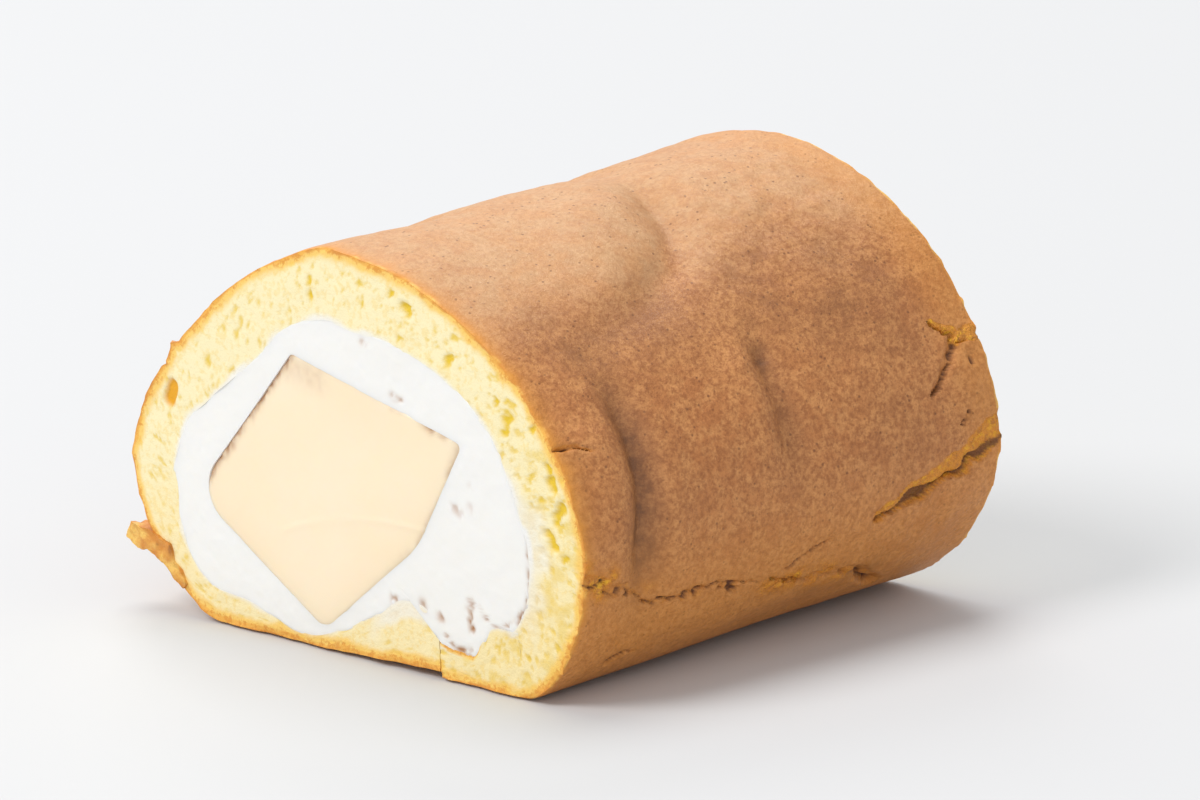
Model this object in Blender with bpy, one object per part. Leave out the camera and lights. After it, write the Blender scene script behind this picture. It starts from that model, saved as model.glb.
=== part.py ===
"""Swiss roll cake: one turn of sponge sheet round whipped cream and a block of custard, cut at both ends.

Frame in metres: x runs across the roll, y along it from the front cut to the back cut, z up.
The roll rests on z = 0 and the origin is under the middle of its box.
"""
import bmesh
import bpy
import numpy as np

# Driving dimensions of the roll
LENGTH = 0.097
DRIFT = 0.014
X_SHIFT = 0.0061
GAP = 0.0003

# The two cut outlines: a flat base and four rounded quarters, anticlockwise from the lower right.
# A power of 2 makes a quarter an ellipse, and a lower one draws its corner in.
FRONT = dict(left=-0.0628, right=0.0612, crown_x=-0.003, height=0.0796, widest_z=0.0295,
             base_left=-0.0395, base_right=0.0435, powers=(1.74, 1.87, 1.5, 1.63))
BACK = dict(left=-0.063, right=0.0631, crown_x=0.008, height=0.0862, widest_z=0.0345,
            base_left=-0.043, base_right=0.029, powers=(1.84, 1.83, 1.68, 1.69))
GIRTH = 0.337

# The sheet's two ends meet under the roll, and its outer end lies a little higher than its inner one
SEAM_X = 0.0215
SEAM_WIDTH = 0.0009
SEAM_LIFT = 0.0012
SEAM_LIFT_FADE = 0.10

# Thickness of the sheet at places round the roll, as fractions of the way round from the seam
SHEET = ((0.000, 0.0070), (0.017, 0.0061), (0.028, 0.0062), (0.035, 0.0092), (0.043, 0.0121),
         (0.060, 0.0126), (0.120, 0.0131), (0.147, 0.0138), (0.174, 0.0149), (0.211, 0.0159),
         (0.246, 0.0152), (0.280, 0.0133), (0.314, 0.0128), (0.345, 0.0129), (0.385, 0.0139),
         (0.424, 0.0150), (0.477, 0.0133), (0.515, 0.0131), (0.548, 0.0148), (0.577, 0.0142),
         (0.607, 0.0131), (0.634, 0.0118), (0.670, 0.0122), (0.719, 0.0126), (0.744, 0.0097),
         (0.767, 0.0075), (0.796, 0.0068), (0.836, 0.0061), (0.861, 0.0043), (0.882, 0.0023),
         (0.893, 0.0021), (0.923, 0.0049), (0.949, 0.0092), (0.974, 0.0130), (0.990, 0.0120),
         (1.000, 0.0085))

# Custard block on the front cut: its corners, with the radius of each; the fifth bows the long lower edge
CUSTARD = ((-0.0150, 0.0578, 0.0015), (-0.0447, 0.0258, 0.0070), (-0.0100, 0.0036, 0.0045),
           (0.0172, 0.0245, 0.0200), (0.0308, 0.0468, 0.0020))
CUSTARD_RISE = 0.003

# Mesh spacing: runs of the way round with their number of steps, and rows along the roll
STATION_RUNS = ((0.000, 0.060, 8), (0.060, 0.500, 44), (0.500, 0.820, 20), (0.820, 1.000, 16))
ROWS = 29

# Soft folds and swells of the crust: a route of (round, along) fractions, its height and how far it reaches
FOLDS = (
    dict(route=((0.285, 0.178), (0.241, 0.177), (0.214, 0.170), (0.185, 0.145), (0.143, 0.140),
                (0.125, 0.158)), height=-0.0026, reach=0.0040),
    dict(route=((0.260, 0.105), (0.213, 0.100), (0.168, 0.080)), height=0.0012, reach=0.0060),
    dict(route=((0.440, 0.640), (0.398, 0.615), (0.370, 0.575), (0.348, 0.535), (0.331, 0.485),
                (0.317, 0.400), (0.307, 0.318), (0.300, 0.230)), height=-0.0022, reach=0.0048),
    dict(route=((0.417, 0.500), (0.372, 0.427), (0.337, 0.350)), height=0.0012, reach=0.0080),
    dict(route=((0.274, 0.519), (0.262, 0.519), (0.240, 0.514), (0.205, 0.515), (0.180, 0.520)),
         height=-0.0018, reach=0.0034),
    dict(route=((0.270, 0.470), (0.215, 0.466)), height=0.0010, reach=0.0045),
    dict(route=((0.150, 0.990), (0.140, 0.860)), height=0.0011, reach=0.0060),
    dict(route=((0.215, 0.970), (0.205, 0.880)), height=0.0007, reach=0.0080),
    dict(route=((0.475, 0.270), (0.475, 0.420)), height=-0.0006, reach=0.0120),
    dict(route=((0.470, 0.660), (0.470, 0.750)), height=-0.0008, reach=0.0120),
    dict(route=((0.350, 0.700), (0.320, 0.780), (0.290, 0.840)), height=-0.0005, reach=0.0050),
    dict(route=((0.560, 0.300), (0.620, 0.315), (0.690, 0.300), (0.740, 0.320)), height=-0.0012,
         reach=0.0036),
    dict(route=((0.570, 0.250), (0.640, 0.260), (0.710, 0.245)), height=0.0006, reach=0.0050),
    dict(route=((0.550, 0.720), (0.600, 0.690), (0.670, 0.700), (0.730, 0.670)), height=-0.0010,
         reach=0.0040),
    dict(route=((0.640, 0.500), (0.700, 0.520)), height=-0.0008, reach=0.0030),
)

# Cracks through the crust: a route, its width at the two ends of the route and its depth
CRACKS = (
    dict(name="long_crack", width=(0.0040, 0.0014), depth=0.0032,
         route=((0.184, 1.030), (0.174, 0.963), (0.167, 0.900), (0.159, 0.843), (0.153, 0.770),
                (0.147, 0.690))),
    dict(name="low_crack", width=(0.0012, 0.0022), depth=0.0020,
         route=((0.166, -0.030), (0.162, 0.035), (0.150, 0.110), (0.137, 0.175), (0.135, 0.280),
                (0.132, 0.365), (0.126, 0.450), (0.116, 0.550), (0.112, 0.640), (0.105, 0.755))),
    dict(name="top_crack", width=(0.0046, 0.0006), depth=0.0026,
         route=((0.235, 1.030), (0.235, 0.955), (0.240, 0.925), (0.249, 0.900))),
    dict(name="side_crack", width=(0.0016, 0.0006), depth=0.0018,
         route=((0.231, 0.935), (0.222, 0.895), (0.214, 0.880), (0.207, 0.848))),
    dict(name="front_crack", width=(0.0014, 0.0006), depth=0.0018,
         route=((0.246, -0.030), (0.241, 0.045), (0.235, 0.075))),
)
CRACK_CLEARANCE = 0.0012

# A flake of crust peels away low on the left of the front cut: its outline there, and its length
FLAKE = ((-0.0641, 0.0162), (-0.0652, 0.0132), (-0.0625, 0.0113), (-0.0585, 0.0114), (-0.0559, 0.0101),
         (-0.0532, 0.0084), (-0.0512, 0.0064), (-0.0497, 0.0051), (-0.0487, 0.0059), (-0.0497, 0.0080),
         (-0.0513, 0.0101), (-0.0523, 0.0124), (-0.0532, 0.0138), (-0.0585, 0.0155))
FLAKE_LENGTH = 0.015
FLAKE_ROOT = (-0.0490, 0.0100)
FLAKE_TAPER = 0.25

# Colours from the food itself: linear red, green and blue
CRUST_COLOUR = (0.430, 0.200, 0.080, 1.0)
CREAM_COLOUR = (0.900, 0.890, 0.860, 1.0)
CUSTARD_COLOUR = (0.900, 0.760, 0.540, 1.0)


def clear_scene():
    for old in list(bpy.data.objects):
        bpy.data.objects.remove(old, do_unlink=True)


def quarter(centre_x, centre_z, reach_x, reach_z, power, start, steps=60):
    """A quarter of a superellipse, anticlockwise from the start angle."""
    angle = start + np.linspace(0.0, np.pi / 2, steps, endpoint=False)
    across, up = np.cos(angle), np.sin(angle)
    return np.column_stack((centre_x + reach_x * np.sign(across) * np.abs(across) ** (2 / power),
                            centre_z + reach_z * np.sign(up) * np.abs(up) ** (2 / power)))


def outline(cut):
    """Points round a cut outline from the seam, and the fraction of the way round of each."""
    wide, crown = cut["widest_z"], cut["crown_x"]
    low_right, high_right, high_left, low_left = cut["powers"]
    rise = cut["height"] - wide
    points = np.vstack((
        [[SEAM_X, 0.0]],
        quarter(cut["base_right"], wide, cut["right"] - cut["base_right"], wide, low_right, -np.pi / 2),
        quarter(crown, wide, cut["right"] - crown, rise, high_right, 0.0),
        quarter(crown, wide, crown - cut["left"], rise, high_left, np.pi / 2),
        quarter(cut["base_left"], wide, cut["base_left"] - cut["left"], wide, low_left, np.pi),
        [[cut["base_left"], 0.0], [SEAM_X, 0.0]],
    ))
    walked = np.concatenate(([0.0], np.cumsum(np.linalg.norm(np.diff(points, axis=0), axis=1))))
    return points, walked / walked[-1]


def on_cut(cut, around, depth):
    """Points at the given depths under a cut outline, in its own plane."""
    points, walked = outline(cut)

    def at(fraction):
        return np.column_stack([np.interp(fraction, walked, points[:, axis]) for axis in (0, 1)])

    step = 0.004
    along = at(np.minimum(around + step, 1.0)) - at(np.maximum(around - step, 0.0))
    along /= np.linalg.norm(along, axis=1)[:, None]
    outward = np.column_stack((along[:, 1], -along[:, 0]))
    placed = at(around) - outward * np.asarray(depth)[:, None]
    placed[:, 1] += SEAM_LIFT * np.clip(1.0 - (1.0 - around) / SEAM_LIFT_FADE, 0.0, 1.0)
    return placed, outward


def roll_points(around, along, depth):
    """World points at fractions round and along the roll, at a depth under its plain surface."""
    front, front_out = on_cut(FRONT, around, depth)
    back, back_out = on_cut(BACK, around, depth)
    share = np.asarray(along)[:, None]
    flat = front * (1 - share) + back * share
    out = front_out * (1 - share) + back_out * share
    points = np.column_stack((flat[:, 0] + DRIFT * share[:, 0] - X_SHIFT,
                              LENGTH * (share[:, 0] - 0.5), flat[:, 1]))
    return points, np.column_stack((out[:, 0], np.zeros(len(out)), out[:, 1]))


def distance_to_route(around, along, route):
    """Distance over the crust from each place to the nearest point of a route."""
    here = np.column_stack((around * GIRTH, along * LENGTH))
    bends = np.array(route) * (GIRTH, LENGTH)
    nearest = np.full(len(here), np.inf)
    for start, end in zip(bends[:-1], bends[1:]):
        span = end - start
        share = np.clip((here - start) @ span / (span @ span), 0.0, 1.0)
        nearest = np.minimum(nearest, np.linalg.norm(here - start - share[:, None] * span, axis=1))
    return nearest


def relief(around, along):
    """Height of the crust over the plain surface."""
    height = np.zeros(len(around))
    for fold in FOLDS:
        away = distance_to_route(around, along, fold["route"]) / fold["reach"]
        height += fold["height"] * np.exp(-away ** 2)
    return height


def crust_points(around, along):
    """World points and outward directions on the crust."""
    return roll_points(around, along, -relief(around, along))


def stations():
    """Fractions of the way round where the sheet has vertices, from one side of the seam to the other."""
    half_seam = 0.5 * SEAM_WIDTH / GIRTH
    runs = [np.linspace(start, end, steps, endpoint=False) for start, end, steps in STATION_RUNS]
    around = np.append(np.concatenate(runs), 1.0)
    around[0], around[-1] = half_seam, 1.0 - half_seam
    return around


def sheet_thickness(around):
    places, thicknesses = zip(*SHEET)
    return np.interp(around, places, thicknesses)


def add_panel(mesh, grid):
    """Quads between the rows of a grid of vertices."""
    for row, next_row in zip(grid[:-1], grid[1:]):
        for a, b, c, d in zip(row[:-1], next_row[:-1], next_row[1:], row[1:]):
            mesh.faces.new((a, b, c, d))


def make_object(name, mesh, material=None):
    bmesh.ops.recalc_face_normals(mesh, faces=mesh.faces)
    data = bpy.data.meshes.new(name)
    mesh.to_mesh(data)
    mesh.free()
    made = bpy.data.objects.new(name, data)
    bpy.context.scene.collection.objects.link(made)
    if material:
        data.materials.append(material)
    return made


def make_loft(name, rings, material=None):
    """A closed solid through rings of points, with flat ends."""
    mesh = bmesh.new()
    loops = [[mesh.verts.new(point) for point in ring] for ring in rings]
    add_panel(mesh, [loop + loop[:1] for loop in loops])
    mesh.faces.new(loops[0])
    mesh.faces.new(loops[-1])
    return make_object(name, mesh, material)


def make_material(name, colour, roughness):
    material = bpy.data.materials.new(name)
    material.use_nodes = True
    shader = material.node_tree.nodes["Principled BSDF"]
    shader.inputs["Base Color"].default_value = colour
    shader.inputs["Roughness"].default_value = roughness
    shader.inputs["Metallic"].default_value = 0.0
    return material


def apply_boolean(target, other, operation):
    """Cut the other solid from the target, or join it on, and remove it."""
    step = target.modifiers.new(operation.lower(), "BOOLEAN")
    step.operation = operation
    step.solver = "EXACT"
    step.object = other
    bpy.context.view_layer.update()
    result = bpy.data.meshes.new_from_object(target.evaluated_get(bpy.context.evaluated_depsgraph_get()))
    target.modifiers.remove(step)
    target.data = result
    bpy.data.objects.remove(other, do_unlink=True)


def make_sheet(material):
    """The sponge sheet: crust outside, its inner face against the cream, and its two ends at the seam."""
    around = stations()
    mesh = bmesh.new()
    outer = []
    for along in np.linspace(0.0, 1.0, ROWS + 1):
        points, _ = crust_points(around, np.full(len(around), along))
        outer.append([mesh.verts.new(point) for point in points])
    inner = []
    for along in (0.0, 1.0):
        points, _ = roll_points(around, np.full(len(around), along), sheet_thickness(around))
        inner.append([mesh.verts.new(point) for point in points])
    add_panel(mesh, outer)
    add_panel(mesh, inner)
    add_panel(mesh, (outer[0], inner[0]))
    add_panel(mesh, (outer[-1], inner[-1]))
    for end in (0, -1):
        mesh.faces.new([row[end] for row in outer] + [row[end] for row in reversed(inner)])
    base = [face for face in mesh.faces if all(abs(vertex.co.z) < 1e-7 for vertex in face.verts)]
    inside = {edge for face in base for edge in face.edges if all(side in base for side in edge.link_faces)}
    bmesh.ops.dissolve_edges(mesh, edges=list(inside), use_verts=False)
    return make_object("sponge", mesh, material)


def make_crack(crack):
    """A V-shaped cutter that follows a route over the crust."""
    around, along = np.array(crack["route"]).T
    centre, out = crust_points(around, along)
    ahead = np.gradient(centre, axis=0)
    across = np.cross(out, ahead)
    across /= np.linalg.norm(across, axis=1)[:, None]
    half = 0.5 * np.linspace(*crack["width"], len(around))[:, None]
    slope = (crack["depth"] + CRACK_CLEARANCE) / crack["depth"]
    top = centre + out * CRACK_CLEARANCE
    rings = zip(top - across * half * slope, top + across * half * slope, centre - out * crack["depth"])
    return make_loft(crack["name"], list(rings))


def make_flake():
    """The flake of crust, which shrinks back into the sheet behind the front cut."""
    edge = np.array(FLAKE)
    root = np.array(FLAKE_ROOT)
    rings = []
    for share in (0.0, 0.5, 1.0):
        ring = root + (edge - root) * (1 - (1 - FLAKE_TAPER) * share ** 2)
        away = share * FLAKE_LENGTH
        rings.append([(x + DRIFT * away / LENGTH - X_SHIFT, away - LENGTH / 2, z) for x, z in ring])
    return make_loft("flake", rings)


def rounded_corners(corners, grow, steps=5):
    """A polygon with each corner turned into an arc, grown outward on every side."""
    places = np.array([corner[:2] for corner in corners])
    points = []
    for index, corner in enumerate(corners):
        here = places[index]
        before, after = places[index - 1] - here, places[(index + 1) % len(corners)] - here
        before /= np.linalg.norm(before)
        after /= np.linalg.norm(after)
        half_angle = 0.5 * np.arccos(before @ after)
        middle = (before + after) / np.linalg.norm(before + after)
        radius = corner[2]
        centre = here + middle * radius / np.sin(half_angle)
        opening = np.pi / 2 - half_angle
        for turn in np.linspace(-opening, opening, steps):
            swing = np.array((np.cos(turn), np.sin(turn)))
            side = np.array((-middle[1], middle[0]))
            points.append(centre - (radius + grow) * (middle * swing[0] + side * swing[1]))
    return points


def custard_rings(grow, overshoot):
    """Rings of the custard block at its two ends, which may run past the cuts."""
    ring = rounded_corners(CUSTARD, grow)
    rings = []
    for along in (-overshoot / LENGTH, 1.0 + overshoot / LENGTH):
        rings.append([(x + DRIFT * along - X_SHIFT, LENGTH * (along - 0.5), z + CUSTARD_RISE * along)
                      for x, z in ring])
    return rings


def make_cream(material):
    """The cream fills the sheet and runs round the custard."""
    around = stations()
    rings = []
    for along in (0.0, 1.0):
        points, _ = roll_points(around, np.full(len(around), along), sheet_thickness(around) + GAP)
        rings.append(points)
    cream = make_loft("cream", rings, material)
    apply_boolean(cream, make_loft("custard_space", custard_rings(GAP, 0.002)), "DIFFERENCE")
    return cream


def shade(made):
    """Smooth shading, with the edges of the cuts and cracks kept sharp."""
    made.data.shade_smooth()
    made.data.set_sharp_from_angle(angle=np.radians(35))


def main():
    clear_scene()
    sponge = make_sheet(make_material("crust", CRUST_COLOUR, 0.75))
    apply_boolean(sponge, make_flake(), "UNION")
    for crack in CRACKS:
        apply_boolean(sponge, make_crack(crack), "DIFFERENCE")
    cream = make_cream(make_material("cream", CREAM_COLOUR, 0.45))
    custard = make_loft("custard", custard_rings(0.0, 0.0), make_material("custard", CUSTARD_COLOUR, 0.35))
    for made in (sponge, cream, custard):
        shade(made)


main()
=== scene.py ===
"""Swiss roll cake: looks of crust, crumb, cream and custard round the fixed solids. Metres, +Z up."""
from types import SimpleNamespace

import bpy
import numpy as np
from mathutils import Matrix, Vector
from numpy.linalg import norm


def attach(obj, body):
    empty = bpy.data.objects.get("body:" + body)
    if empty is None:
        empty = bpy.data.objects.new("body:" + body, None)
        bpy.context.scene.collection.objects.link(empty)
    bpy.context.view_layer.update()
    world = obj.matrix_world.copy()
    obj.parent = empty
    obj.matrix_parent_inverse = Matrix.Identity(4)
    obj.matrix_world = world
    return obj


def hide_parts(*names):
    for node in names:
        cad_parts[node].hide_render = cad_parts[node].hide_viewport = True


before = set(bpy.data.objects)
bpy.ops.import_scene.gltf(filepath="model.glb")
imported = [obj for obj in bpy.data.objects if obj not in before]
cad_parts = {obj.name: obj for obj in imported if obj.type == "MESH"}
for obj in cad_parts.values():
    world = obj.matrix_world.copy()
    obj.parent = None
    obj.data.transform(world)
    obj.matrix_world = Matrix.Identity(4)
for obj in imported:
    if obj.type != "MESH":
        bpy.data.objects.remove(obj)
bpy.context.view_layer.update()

# Driving dimensions of the roll, as the solids have them
LENGTH = 0.097
DRIFT = 0.014
X_SHIFT = 0.0061
GIRTH = 0.337
FRONT = dict(left=-0.0628, right=0.0612, crown_x=-0.003, height=0.0796, widest_z=0.0295,
             base_left=-0.0395, base_right=0.0435, powers=(1.74, 1.87, 1.5, 1.63))
BACK = dict(left=-0.063, right=0.0631, crown_x=0.008, height=0.0862, widest_z=0.0345,
            base_left=-0.043, base_right=0.029, powers=(1.84, 1.83, 1.68, 1.69))
SEAM_X = 0.0215
SEAM_WIDTH = 0.0002
SEAM_LIFT = 0.0012
SEAM_LIFT_FADE = 0.1

# Thickness of the sheet at places round the roll, as fractions of the way round from the seam
SHEET = ((0.000, 0.0070), (0.017, 0.0061), (0.028, 0.0062), (0.035, 0.0092), (0.043, 0.0121),
         (0.060, 0.0126), (0.120, 0.0131), (0.147, 0.0138), (0.174, 0.0149), (0.211, 0.0159),
         (0.246, 0.0152), (0.280, 0.0133), (0.314, 0.0128), (0.345, 0.0129), (0.385, 0.0139),
         (0.424, 0.0150), (0.477, 0.0133), (0.515, 0.0131), (0.548, 0.0148), (0.577, 0.0142),
         (0.607, 0.0131), (0.634, 0.0118), (0.670, 0.0122), (0.719, 0.0126), (0.744, 0.0097),
         (0.767, 0.0075), (0.796, 0.0068), (0.836, 0.0061), (0.861, 0.0043), (0.882, 0.0023),
         (0.893, 0.0021), (0.923, 0.0049), (0.949, 0.0092), (0.974, 0.0130), (0.990, 0.0120),
         (1.000, 0.0085))
SLOPE_SHARE = 0.6

# Custard block on the front cut: its corners, with the radius of each; the fourth bows the long lower edge
CUSTARD = ((-0.015, 0.0578, 0.0015), (-0.0447, 0.0258, 0.007), (-0.01, 0.0036, 0.0045),
           (0.0172, 0.0245, 0.02), (0.0308, 0.0468, 0.0012))
CUSTARD_RISE = 0.003
CUSTARD_MIDDLE = (-0.005, 0.032)
KNIFE_ARC = (0.014, -0.062, 0.0905)
CREAM_OVERLAP = 0.0013
CREAM_DIP = 0.0012
CREAM_GAP = 0.0003

# Soft folds and swells of the crust: how high each is, how far it reaches, how strongly painted shade
# darkens the crust in its hollow, and its route of (round, along) fractions
FOLDS = (
    (-0.0022, 0.004, 0.72, ((0.285, 0.178), (0.27, 0.177), (0.241, 0.177), (0.214, 0.17), (0.185, 0.145),
         (0.143, 0.14), (0.125, 0.158))),
    (-0.0008, 0.0016, 0.3, ((0.27, 0.172), (0.241, 0.173), (0.214, 0.166), (0.185, 0.143), (0.15, 0.14))),
    (0.0012, 0.006, 0.0, ((0.26, 0.105), (0.213, 0.1), (0.168, 0.08))),
    (0.0006, 0.004, 0.0, ((0.27, 0.225), (0.22, 0.225), (0.165, 0.2))),
    (-0.0022, 0.0048, 0.09, ((0.44, 0.64), (0.398, 0.615), (0.37, 0.575), (0.348, 0.535), (0.331, 0.485),
         (0.317, 0.4), (0.307, 0.318), (0.3, 0.23))),
    (-0.0007, 0.0017, 0.12, ((0.41, 0.622), (0.38, 0.59), (0.36, 0.56), (0.34, 0.512))),
    (0.0012, 0.008, 0.0, ((0.417, 0.5), (0.372, 0.427), (0.337, 0.35))),
    (-0.0018, 0.0034, 0.44, ((0.274, 0.519), (0.262, 0.519), (0.24, 0.514), (0.205, 0.515), (0.18, 0.52))),
    (-0.0007, 0.002, 0.45, ((0.266, 0.521), (0.252, 0.519))),
    (0.001, 0.0045, 0.0, ((0.27, 0.47), (0.215, 0.466))),
    (0.0011, 0.006, 0.0, ((0.15, 0.99), (0.14, 0.86))),
    (0.0007, 0.008, 0.0, ((0.215, 0.97), (0.205, 0.88))),
    (-0.0015, 0.011, 0.0, ((0.477, 0.17), (0.477, 0.36))),
    (0.0006, 0.012, 0.0, ((0.45, 0.9), (0.45, 1.0))),
    (0.0015, 0.0016, 0.0, ((0.609, 0.0), (0.607, 0.012))),
    (0.0007, 0.0014, 0.0, ((0.735, 0.0), (0.735, 0.014))),
    (-0.0015, 0.011, 0.0, ((0.476, 0.58), (0.474, 0.75))),
    (-0.0005, 0.005, 0.1, ((0.35, 0.7), (0.32, 0.78), (0.29, 0.84))),
    (-0.0009, 0.007, 0.0, ((0.078, 0.4), (0.078, 0.56), (0.08, 0.72))),
    (-0.0012, 0.0036, 0.22, ((0.56, 0.3), (0.62, 0.315), (0.69, 0.3), (0.74, 0.32))),
    (0.0006, 0.005, 0.0, ((0.57, 0.25), (0.64, 0.26), (0.71, 0.245))),
    (-0.001, 0.004, 0.18, ((0.55, 0.72), (0.6, 0.69), (0.67, 0.7), (0.73, 0.67))),
    (-0.0008, 0.003, 0.15, ((0.64, 0.5), (0.7, 0.52))),
)
FOLD_END = 0.3
FOLD_AT_END = 0.3

# Relief of the crust: heights, how far above its stand it starts and how deep it goes into the sheet
SWELL_HEIGHT = 0.00022
GRAIN_HEIGHT = 0.00007
WRINKLE_HEIGHT = 0.00006
CREASE_HEIGHT = 0.0002
WRINKLE_STRETCH = (0.55, 1.0, 1.6)
TORN_HEIGHT = 0.0005
TUFT_HEIGHT = 0.0011
EDGE_ROUNDING = 0.00018
STANDING_CLEAR = 0.007
CRUST_DEPTH = 0.0007

# Cracks: the width at the two ends, the depth, how jagged it is, how much crumb shows, and the route from
# the wide end
CRACKS = (
    ((0.0064, 0.004), 0.0019, 0.001, 0.72, ((0.184, 1.03), (0.174, 0.963), (0.163, 0.87), (0.153, 0.77),
         (0.147, 0.69))),
    ((0.0007, 0.0011), 0.0013, 0.0008, 0.0, ((0.143, 0.6), (0.1395, 0.56), (0.135, 0.53), (0.129, 0.495))),
    ((0.0046, 0.001), 0.0026, 0.0017, 0.25, ((0.084, 0.8), (0.094, 0.755), (0.106, 0.725), (0.112, 0.64),
         (0.118, 0.55), (0.127, 0.45))),
    ((0.0019, 0.0006), 0.0012, 0.0017, 0.3, ((0.166, -0.03), (0.163, 0.035), (0.15, 0.11), (0.137, 0.175),
         (0.135, 0.28), (0.132, 0.365), (0.128, 0.45))),
    ((0.005, 0.0009), 0.0022, 0.0012, 1.0, ((0.235, 1.03), (0.235, 0.955), (0.24, 0.925), (0.249, 0.9))),
    ((0.0034, 0.0012), 0.0017, 0.0012, 0.15, ((0.231, 0.935), (0.222, 0.895), (0.214, 0.88), (0.207, 0.848))),
    ((0.0013, 0.0006), 0.0012, 0.0005, 0.4, ((0.246, -0.03), (0.241, 0.045), (0.235, 0.075))),
    ((0.0018, 0.0008), 0.0011, 0.0005, 0.0, ((0.193, 0.925), (0.185, 0.903))),
    ((0.0013, 0.0007), 0.0009, 0.0004, 0.0, ((0.224, 0.966), (0.216, 0.96))),
    ((0.0019, 0.0008), 0.001, 0.001, 0.1, ((0.1, 0.12), (0.106, 0.15), (0.102, 0.175))),
    ((0.002, 0.0006), 0.0013, 0.0014, 0.45, ((0.7, 1.03), (0.712, 0.94), (0.722, 0.86), (0.738, 0.78))),
    ((0.0015, 0.0006), 0.0011, 0.0012, 0.2, ((0.76, 0.62), (0.752, 0.54), (0.757, 0.47))),
    ((0.0014, 0.0006), 0.001, 0.001, 0.2, ((0.62, -0.03), (0.628, 0.05), (0.622, 0.095))),
)

# The gap's place across a crack, how bright a crack is filled with crumb, how high the crumb then lies, and
# from how many bends on a crack is broken up
GAP_PLACE = -0.45
FILLED_FROM = 0.7
CRUMB_LEVEL = 0.2
LONG_ROUTE = 6

# Where torn crumb shows through in blotches: how far each reaches, how strongly, and its route
BLOTCHES = (
    (0.0036, 0.74, ((0.124, 0.48), (0.121, 0.56), (0.112, 0.64), (0.103, 0.7))),
    (0.0032, 1.3, ((0.167, 0.0), (0.161, 0.045))),
    (0.0022, 0.3, ((0.148, 0.15), (0.136, 0.28))),
    (0.0026, 0.22, ((0.117, 0.12), (0.101, 0.19))),
    (0.0026, 0.4, ((0.752, 0.7), (0.756, 0.56))),
)

# Painted shade: darker patches where the crust turns away from the light; how far each reaches, how strongly,
# and its route
PAINTED_SHADE_PATCHES = (
    (0.0085, 0.33, ((0.306, 0.14), (0.293, 0.212), (0.292, 0.302), (0.299, 0.38))),
    (0.0085, 0.34, ((0.292, 0.59), (0.28, 0.66), (0.268, 0.7))),
    (0.0065, 0.3, ((0.298, 0.79), (0.284, 0.825), (0.262, 0.838), (0.245, 0.833))),
    (0.0036, 0.2, ((0.316, 0.583), (0.321, 0.652), (0.325, 0.7))),
    (0.005, 0.1, ((0.376, 0.405), (0.374, 0.425))),
    (0.009, 0.12, ((0.205, 0.76), (0.185, 0.8))),
    (0.0024, 0.32, ((0.111, 0.57), (0.103, 0.62))),
    (0.0026, 0.55, ((0.105, 0.7), (0.107, 0.75))),
    (0.008, 0.15, ((0.64, 0.38), (0.66, 0.46))),
    (0.007, 0.18, ((0.6, 0.8), (0.66, 0.84))),
)
# Along this stripe the painted top light is weaker
OCHRE_STRIPE = ((0.35, 0.53), (0.324, 0.48), (0.304, 0.44))
OCHRE_REACH = 0.0024

# The flake of crust low on the left of the front cut: broad at its tip, a thin strip where it joins
FLAKE = ((-0.0641, 0.0162), (-0.0652, 0.0132), (-0.0625, 0.0113), (-0.0585, 0.0114), (-0.0559, 0.0101),
         (-0.0532, 0.0084), (-0.0512, 0.0064), (-0.0497, 0.0051), (-0.0487, 0.0059), (-0.0497, 0.008),
         (-0.0513, 0.0101), (-0.0523, 0.0124), (-0.0532, 0.0138), (-0.0585, 0.0155))
FLAKE_LENGTH = 0.015
FLAKE_ROOT = (-0.049, 0.01)
FLAKE_TAPER = 0.25
FLAKE_PROUD = 0.0005
FLAKE_ROUGHNESS = 0.00045
FLAKE_END_SIZES = (0.1, 0.02)

# Larger pores of the crumb on the front cut: across, up, radius and depth
PORES = (
    (-0.0085, 0.0728, 0.001, 0.0009), (-0.0086, 0.0698, 0.0011, 0.001), (0.0052, 0.0741, 0.0009, 0.0006),
    (0.0137, 0.0732, 0.0009, 0.0008), (0.0175, 0.0708, 0.0017, 0.0018), (0.0057, 0.0703, 0.0008, 0.0007),
    (-0.0301, 0.0638, 0.0009, 0.0006), (-0.0299, 0.0591, 0.001, 0.0006), (-0.0267, 0.0614, 0.0008, 0.0005),
    (0.0152, 0.065, 0.001, 0.0006), (0.028, 0.0626, 0.0016, 0.0012), (-0.0318, 0.0516, 0.001, 0.0006),
    (-0.0388, 0.0523, 0.0009, 0.0006), (0.0299, 0.0671, 0.0011, 0.0005), (0.0401, 0.0565, 0.0011, 0.0007),
    (0.0428, 0.0535, 0.0017, 0.001), (0.0421, 0.0511, 0.0014, 0.0008), (0.0492, 0.0526, 0.0011, 0.001),
    (0.0534, 0.043, 0.0019, 0.0019), (0.0528, 0.0456, 0.0013, 0.0013), (0.0554, 0.0384, 0.0017, 0.0017),
    (0.0542, 0.0364, 0.0015, 0.0014), (0.0519, 0.0331, 0.0015, 0.0014), (0.0531, 0.0314, 0.0016, 0.0015),
    (0.0478, 0.0378, 0.0009, 0.0006), (0.0506, 0.0395, 0.001, 0.0006), (0.056, 0.0291, 0.0011, 0.0008),
)
PIT = ((-0.0494, 0.0458), (-0.0506, 0.0432))
PIT_RADIUS = 0.0019
PIT_DEPTH = 0.0008
SMALL_PORES = 620
PORE_SHALLOWING = 0.42
# Pores this deep or deeper get the full painted shade
DARK_PORE_DEPTH = 0.0011
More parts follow.
